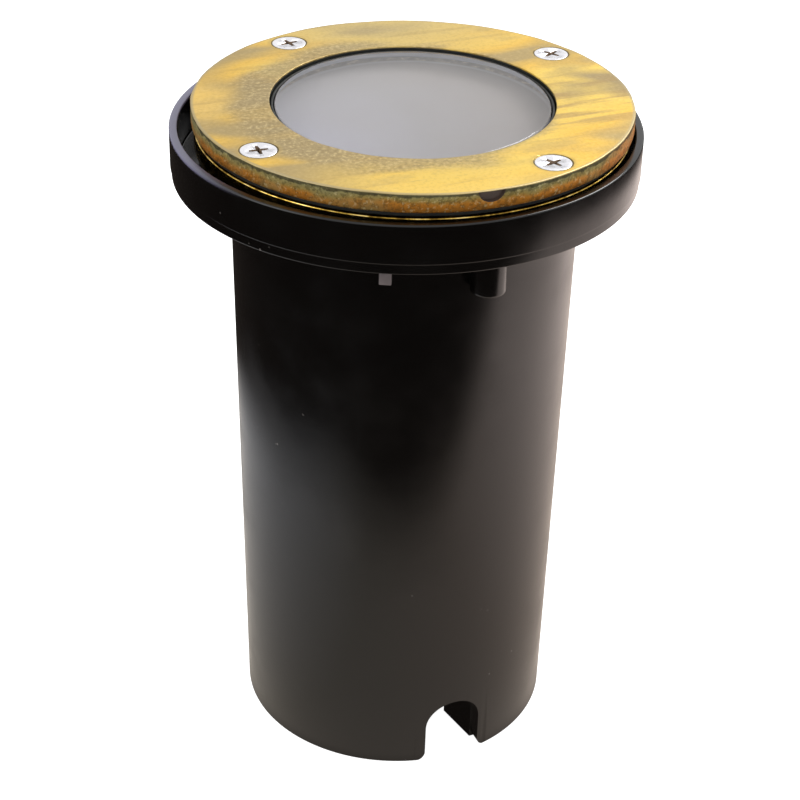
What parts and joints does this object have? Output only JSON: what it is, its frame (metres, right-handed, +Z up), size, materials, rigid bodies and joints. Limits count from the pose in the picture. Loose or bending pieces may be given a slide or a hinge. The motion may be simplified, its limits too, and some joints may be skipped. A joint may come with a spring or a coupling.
{
  "type": "recessed pond light",
  "caption": "Round recessed pond light: a brass trim ring with a thick glass lens on a lamp can that drops into a black ground sleeve with a cupped rim and cable notches.",
  "frame": {"origin": "centre of the ground sleeve's open foot, on the surface it stands on", "axes": "+Z up the sleeve towards the lens, +Y and -Y towards the two cable notches"},
  "size_m": [0.12, 0.12, 0.1813],
  "materials": {
    "cast_brass": "sand-cast brass, weathered, with grey-brown patches",
    "bright_brass": "machined brass",
    "stainless": "satin stainless steel",
    "black_plastic": "glossy black moulded plastic",
    "rubber": "black rubber",
    "silicone": "pale silicone rubber",
    "lens": "clear glass with a frosted lower face",
    "aluminium": "die-cast aluminium",
    "ceramic": "unglazed ceramic",
    "white_plastic": "white moulded plastic",
    "led_board": "emitter board with yellow phosphor",
    "red_wire": "red wire insulation",
    "black_wire": "black wire insulation"
  },
  "bodies": {
    "sleeve": {"ground_sleeve": "black_plastic"},
    "can": {"light_can": "bright_brass", "flange_gasket": "rubber", "lens_seat_seal": "silicone", "gimbal_bracket": "stainless", "bracket_screw_1": "stainless", "bracket_screw_2": "stainless", "terminal_block": "white_plastic", "terminal_mount_screw": "stainless", "terminal_screw_1": "bright_brass", "terminal_screw_2": "bright_brass", "gland_body": "bright_brass", "gland_washer": "rubber", "gland_seal": "rubber", "gland_nut": "bright_brass", "gland_locknut": "bright_brass", "lead_1": "red_wire", "lead_2": "black_wire"},
    "cover": {"trim_ring": "cast_brass", "ring_screw_1": "stainless", "ring_screw_2": "stainless", "ring_screw_3": "stainless", "ring_screw_4": "stainless", "lens_glass": "lens", "lens_gasket": "rubber"},
    "lamp": {"gimbal_ring": "aluminium", "pivot_screw_1": "stainless", "pivot_screw_2": "stainless", "lamp_shell": "aluminium", "lamp_lens": "lens", "lamp_clip": "stainless", "lamp_led_board": "led_board", "lamp_base": "white_plastic", "lamp_pin_1": "stainless", "lamp_pin_2": "stainless", "lamp_socket": "ceramic"}
  },
  "joints": [
    {"name": "insert_lift", "type": "slide", "parent": "sleeve", "child": "can", "axis": [0, 0, 1], "range_m": [0, 0.145]},
    {"name": "cover_lift", "type": "slide", "parent": "can", "child": "cover", "axis": [0, 0, 1], "range_m": [0, 0.04]},
    {"name": "lamp_tilt", "type": "hinge", "parent": "can", "child": "lamp", "pos_m": [0.00138, -0.0006, 0.15], "axis": [0.8988, -0.4384, 0], "range_deg": [-15, 15], "deforming": ["lead_1", "lead_2"]}
  ]
}
